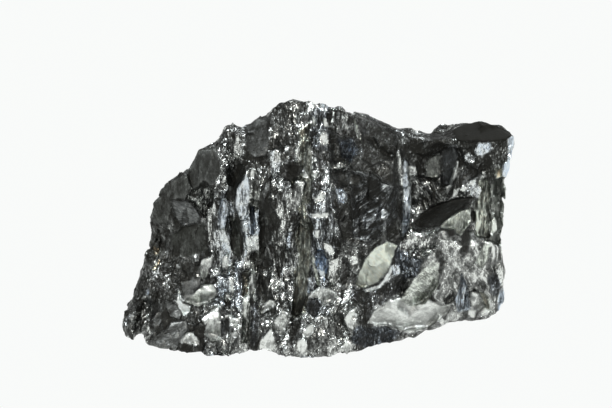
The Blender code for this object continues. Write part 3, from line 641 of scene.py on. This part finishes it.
def places_on(tree):
    """The point of the lump behind the middle of each patch."""
    places = {}
    for _, name, patch in PATCHES:
        across, down = np.mean(patch.corners, axis=0)
        ray = AHEAD * FOCAL + RIGHT * (across - FRAME[0] / 2) - UP * (down - FRAME[1] / 2)
        hit = tree.ray_cast(Vector(EYE), Vector(ray).normalized())[0]
        places[name] = hit and np.array(hit)
    return places


def tree_of(mesh):
    faces = [tuple(face.vertices) for face in mesh.polygons]
    return bvhtree.BVHTree.FromPolygons([vertex.co for vertex in mesh.vertices], faces)


def thickness_of(tree, points, ways):
    """How far the coal goes on behind each point, its own way."""
    starts = points + ways * FORM_GRID
    gaps = [tree.ray_cast(Vector(start), Vector(way))[3] for start, way in zip(starts, ways)]
    return np.array([FORM_GRID if gap is None else gap for gap in gaps])


def inside_by(corners, across, down):
    """How far inside an outline spots of the frame are, and below 0 how far outside."""
    nearest = np.full(len(across), np.inf)
    inside = np.zeros(len(across), bool)
    for (x0, y0), (x1, y1) in zip(corners, corners[1:] + corners[:1]):
        wide, tall = x1 - x0, y1 - y0
        along = np.clip(((across - x0) * wide + (down - y0) * tall) / (wide**2 + tall**2), 0, 1)
        nearest = np.minimum(nearest, np.hypot(across - x0 - along * wide, down - y0 - along * tall))
        if tall:
            inside ^= ((down < y0) != (down < y1)) & (across < wide * (down - y0) / tall + x0)
    return np.where(inside, nearest, -nearest)


def within(patch, place, points, normals, kind, stray=0.0):
    """How far inside a patch each point is, in spots of the frame."""
    spots = seen(points) + kind.ragged * stray
    corners = np.array(patch.corners)
    low, high = corners.min(axis=0)[:, None] - kind.soft, corners.max(axis=0)[:, None] + kind.soft
    by = np.full(len(points), -np.inf)
    if place is not None:
        near = np.abs((points - place) @ AHEAD) < kind.reach
        near &= (normals @ AHEAD < TURNED_AWAY) & ((spots > low) & (spots < high)).all(axis=0)
        by[near] = inside_by(patch.corners, *spots[:, near])
    return by


def set_patch(points, normals, thick, patch, place, kind):
    """Brings the surface behind a patch to one plane, or hollows it out, along the line of sight."""
    inside = within(patch, place, points, normals, kind)
    if patch.facing is None:
        away = patch.sunk * smooth(0, HOLLOW_SLOPE, inside)
    else:
        out = normals[inside > 0].sum(axis=0) if patch.facing == AS_IS else towards(*patch.facing)
        out /= max(np.linalg.norm(out), TINY)
        proud = points @ out
        level = np.median(proud[inside > 0]) - patch.sunk if (inside > 0).any() else 0
        away = (proud - level) / max(-(AHEAD @ out), LEAST_FACED)
        away = np.clip(away, -MOST_RAISED, MOST_CUT) * (inside > 0)
    return points + np.outer(np.minimum(away, thick) * smooth(0, FOOT_KEPT, points[:, 2]), AHEAD)


def beds_show(points):
    """How far the coal at each point is bedded."""
    return 1 - smooth(*BEDS_END, points[:, 0])


def finish_at(points, normals, places):
    """What the coal is like at each point, painted light and shade in the patches' tone included, and
    whether a clean face is there.
    """
    starts = np.array([bed.start for bed in BEDS])
    stray = BED_WANDER * noise_at(points, WANDER_OVER)
    y = points[:, 1] + HALF_DEPTH
    index = np.searchsorted(starts, points[:, 0] + stray - BED_LEAN * y) - 1
    values = {name: np.array([getattr(bed, name) for bed in BEDS])[index] for name in FINISH}
    values["faced"] = np.zeros(len(points))
    stray = np.stack([noise_at(points + apart, (RAGGED_OVER,) * 3) for apart in (0, STRAYS_APART)])
    for kind, name, patch in PATCHES:
        share = smooth(-kind.soft, kind.soft, within(patch, places[name], points, normals, kind, stray))
        for value in FINISH:
            values[value] += share * (getattr(patch, value) - values[value])
        if patch.facing:
            values["faced"] = np.maximum(values["faced"], share)
    return values


CellsOn = namedtuple("CellsOn", "cells tree cell centre out")


def cells_on(mesh, points, cells):
    """Shares the surface out between cells, each with a plane and a lean of its own."""
    rng = np.random.default_rng(cells.seed)
    normals = normals_of(mesh, points)
    area = sum(face.area for face in mesh.polygons)
    stretch = np.array(cells.stretch, float)
    count = int(area / (cells.size**2 * stretch.prod() ** (2 / 3)))
    tree = kdtree.KDTree(count)
    for index, point in enumerate(points[rng.choice(len(points), count, replace=False)] / stretch):
        tree.insert(point, index)
    tree.balance()
    cell = np.array([tree.find(point)[1] for point in points / stretch])
    weight = np.maximum(np.bincount(cell, minlength=count), 1)[:, None]
    centre, out = (
        np.stack([np.bincount(cell, part, count) for part in values.T], 1) / weight
        for values in (points, normals))
    out += rng.normal(0, cells.lean, (count, 3)) * np.linalg.norm(out, axis=1)[:, None]
    out /= np.maximum(np.linalg.norm(out, axis=1), TINY)[:, None]
    return CellsOn(cells, tree, cell, centre, out)


def facet(points, on, strength):
    """Brings each cell of the surface towards its plane."""
    offset = np.einsum("ij,ij->i", on.centre[on.cell] - points, on.out[on.cell])
    offset = np.clip(offset, -on.cells.most, on.cells.most) * strength
    return points + on.out[on.cell] * offset[:, None]


def shade_of(points, on):
    """How much lighter or darker than its surroundings each cell is."""
    rng = np.random.default_rng(on.cells.seed)
    shades = rng.uniform(-on.cells.shade, on.cells.shade, len(on.centre))
    return shades[[on.tree.find(point)[1] for point in points / np.array(on.cells.stretch)]]


def edges_of(mesh, points, normals):
    """How far the surface stands proud of its neighbourhood, from -1 in a crease to 1 on an edge."""
    ends = np.empty(len(mesh.edges) * 2, np.int32)
    mesh.edges.foreach_get("vertices", ends)
    starts, stops = ends.reshape(-1, 2).T
    total = len(points)
    count = np.bincount(np.r_[starts, stops], minlength=total)
    near = points
    for _ in range(EDGE_SPREAD):
        near = np.stack([
            (np.bincount(starts, part[stops], total) + np.bincount(stops, part[starts], total)) / count
            for part in near.T], 1)
    return np.clip(np.einsum("ij,ij->i", points - near, normals) / EDGE_PROUD, -1, 1)


def within_box(points):
    """The points, held back from passing the CAD box by more than OVERHANG or the foot at all."""
    low, high = (np.array(corner) / MM for corner in CAD_BOX)
    spare = (high - low) * OVERHANG
    low, high = low - spare, high + spare
    low[2] = 0
    return np.clip(points, low, high)


class Nodes:
    """A new material, and a short way to write its shader nodes."""

    def __init__(self, name):
        self.material = bpy.data.materials.new(name)
        self.material.use_nodes = True
        self.tree = self.material.node_tree
        self.tree.nodes.clear()

    def add(self, kind, inputs=(), **settings):
        node = self.tree.nodes.new("ShaderNode" + kind)
        for name, value in settings.items():
            setattr(node, name, value)
        for key, value in dict(inputs).items():
            socket = node.inputs[key]
            if isinstance(value, bpy.types.NodeSocket):
                self.tree.links.new(value, socket)
            else:
                socket.default_value = value
        return node.outputs

    def math(self, operation, a, b=0.0):
        return self.add("Math", {0: a, 1: b}, operation=operation)[0]

    def plus(self, a, b):
        return self.math("ADD", a, b)

    def times(self, a, b):
        return self.math("MULTIPLY", a, b)

    def vector(self, operation, a, b):
        return self.add("VectorMath", {0: a, 1: b}, operation=operation)[0]

    def spread(self, value, low, high, to_low, to_high):
        """Takes low to to_low and high to to_high, and stays there beyond them."""
        limits = {"From Min": low, "From Max": high, "To Min": to_low, "To Max": to_high}
        return self.add("MapRange", {"Value": value, **limits})["Result"]

    def mix(self, share, a, b, how="MIX"):
        """Two colours mixed. They go into a Mix node's sockets 6 and 7, and the result is its 2."""
        return self.add("Mix", {0: share, 6: a, 7: b}, data_type="RGBA", blend_type=how)[2]

    def value(self, name):
        return self.add("Attribute", attribute_name=name)["Fac"]


def coal():
    """Coal whose tone, tint, gloss and finest relief follow from what each point of the surface carries."""
    nodes = Nodes("coal")
    tone, blue, grain, streak, slant = (nodes.value(name) for name in FINISH)
    patterns = patterns_of(nodes, slant)
    tone = tone_of(nodes, patterns, tone, grain, streak)
    relief = relief_of(nodes, patterns, grain, streak)
    look = {"Base Color": colour_of(nodes, patterns, tone, blue), "Metallic": nodes.spread(tone, *METALLIC)}
    look["Roughness"] = nodes.plus(nodes.spread(tone, *ROUGHNESS), nodes.spread(grain, *SATIN))
    look["IOR"] = IOR
    look["Normal"] = nodes.add("Bump", {"Height": relief, "Strength": 1.0, "Distance": 1.0})["Normal"]
    nodes.add("OutputMaterial", {"Surface": nodes.add("BsdfPrincipled", look)[0]})
    return nodes.material


Patterns = namedtuple("Patterns", "streaks runs chip_at chips small mottle")


def patterns_of(nodes, slant):
    """Streaks and wider runs drawn out upright, chips and small chips, and a fine mottle."""
    place = nodes.add("TexCoord")["Object"]
    wobble = nodes.add("TexNoise", {"Vector": place, "Scale": WOBBLE_SCALE, "Detail": 2.0})["Color"]
    wobble = nodes.add("VectorMath", {0: wobble, "Scale": WOBBLE}, operation="SCALE")[0]
    turn = {"Vector": nodes.vector("ADD", place, wobble), "Angle": nodes.math("RADIANS", slant)}
    drawn = nodes.add("VectorRotate", turn, rotation_type="Y_AXIS")[0]
    streak_at, run_at, chip_at = (
        nodes.vector("MULTIPLY", drawn, scale) for scale in (STREAK_SCALE, RUN_SCALE, CHIP_SCALE))
    streaks, runs, mottle = (
        nodes.add("TexNoise", {"Vector": at, "Scale": scale, "Detail": detail, "Roughness": rough})["Fac"]
        for at, scale, detail, rough in (
            (streak_at, 1.0, 4.0, 0.6), (run_at, 1.0, 2.0, 0.5), (place, MOTTLE_SCALE, 6.0, 0.7)))
    chips, small = (
        nodes.add("TexVoronoi", {"Vector": chip_at, "Scale": scale}, distance="MANHATTAN")
        for scale in (1.0, SMALL_CHIPS))
    return Patterns(streaks, runs, chip_at, chips, small, mottle)


def tone_of(nodes, patterns, tone, grain, streak):
    """The tone with its chips, partly painted sparkle, its painted glints, streaks and mottle."""
    chip = nodes.add("SeparateColor", {0: patterns.chips["Color"]})[0]
    small = nodes.add("SeparateColor", {0: patterns.small["Color"]})
    chips = nodes.plus(nodes.spread(chip, *CHIP_TONE), nodes.spread(small[0], *SMALL_CHIP_TONE))
    # Sparse bright glints painted on the small chips: painted highlights.
    chips = nodes.times(nodes.plus(chips, nodes.spread(small[2], *PAINTED_GLINT_TONE)), grain)
    streaks, lines = (nodes.spread(patterns.streaks, *change) for change in (STREAK_TONE, LINE_TONE))
    streaks = nodes.plus(nodes.plus(streaks, nodes.spread(patterns.runs, *RUN_TONE)), lines)
    streaks = nodes.times(streaks, streak)
    mottle = nodes.times(nodes.spread(patterns.mottle, *MOTTLE_TONE), nodes.spread(grain, *MOTTLE_BY_GRAIN))
    total = nodes.plus(nodes.plus(tone, chips), nodes.plus(streaks, mottle))
    return nodes.spread(nodes.plus(total, TONE_LIFT), 0, TONE_MOST, 0, TONE_MOST)


def colour_of(nodes, patterns, tone, blue):
    """How light the coal is by its tone, with its stains, its cold sheens and its brown shadows."""
    lightness = nodes.plus(nodes.times(nodes.math("POWER", LIGHTER, tone), SOOT), DARKEST)
    chip = nodes.add("SeparateColor", {0: patterns.chips["Color"]})[1]
    uneven = nodes.times(blue, nodes.spread(chip, *UNEVEN))
    tint = nodes.mix(nodes.spread(uneven, *LESS_STAINED), STAIN_BROWN, WARM_GREY)
    tint = nodes.mix(nodes.spread(uneven, *LESS_WARM), tint, PLAIN_GREY)
    tint = nodes.mix(nodes.spread(uneven, *COLD), tint, BLUE)
    brown = nodes.times(nodes.spread(tone, *DARK), nodes.spread(blue, *LESS_BROWN))
    tint = nodes.mix(brown, tint, DARK_BROWN)
    return nodes.mix(1.0, tint, lightness, "MULTIPLY")


def relief_of(nodes, patterns, grain, streak):
    """The height of the finest relief: each chip leans its own way, and streaks and mottle stand up."""
    apart = nodes.vector("SUBTRACT", patterns.chip_at, patterns.chips["Position"])
    leaning = nodes.vector("SUBTRACT", patterns.chips["Color"], (0.5, 0.5, 0.5))
    tilt = nodes.add("VectorMath", {0: apart, 1: leaning}, operation="DOT_PRODUCT")["Value"]
    relief = nodes.times(tilt, nodes.times(grain, CHIP_RELIEF))
    for pattern, height in ((patterns.streaks, STREAK_RELIEF), (patterns.runs, RUN_RELIEF)):
        relief = nodes.plus(relief, nodes.times(nodes.times(pattern, streak), height))
    return nodes.plus(relief, nodes.times(patterns.mottle, MOTTLE_RELIEF))


def floor():
    corners = [(x * FLOOR_HALF, y * FLOOR_HALF, 0) for x, y in ((-1, -1), (1, -1), (1, 1), (-1, 1))]
    mesh = bpy.data.meshes.new("floor")
    mesh.from_pydata(corners, [], [(0, 1, 2, 3)])
    plane = placed("floor", mesh)
    plane.location.z = -FLOOR_DEPTH
    nodes = Nodes("floor")
    glow = nodes.add("Emission", {"Color": FLOOR_COLOUR, "Strength": FLOOR_GLOW})
    nodes.add("OutputMaterial", {"Surface": glow[0]})
    mesh.materials.append(nodes.material)


def lights():
    for name, light in LIGHTS.items():
        data = bpy.data.lights.new(name, "AREA")
        data.size, data.energy, data.color = light.size, light.power, light.colour
        lamp = placed(name, data)
        lamp.location = light.at
        lamp.rotation_mode = "QUATERNION"
        lamp.rotation_quaternion = (AIM - lamp.location).to_track_quat("-Z", "Y")
    world = bpy.data.worlds.new("studio")
    world.use_nodes = True
    world.node_tree.nodes["Background"].inputs["Color"].default_value = SURROUNDINGS
    bpy.context.scene.world = world
    bpy.context.scene.view_settings.view_transform = "Standard"


def camera():
    data = bpy.data.cameras.new("camera")
    data.lens, data.sensor_width = LENS, SENSOR
    data.clip_start, data.clip_end = CLIP_START, CLIP_END
    eye = placed("camera", data)
    eye.location = Vector(EYE * MM)
    eye.rotation_euler = (math.radians(90) - ELEVATION, 0, 0)
    bpy.context.scene.camera = eye


main()
bpy.context.view_layer.update()
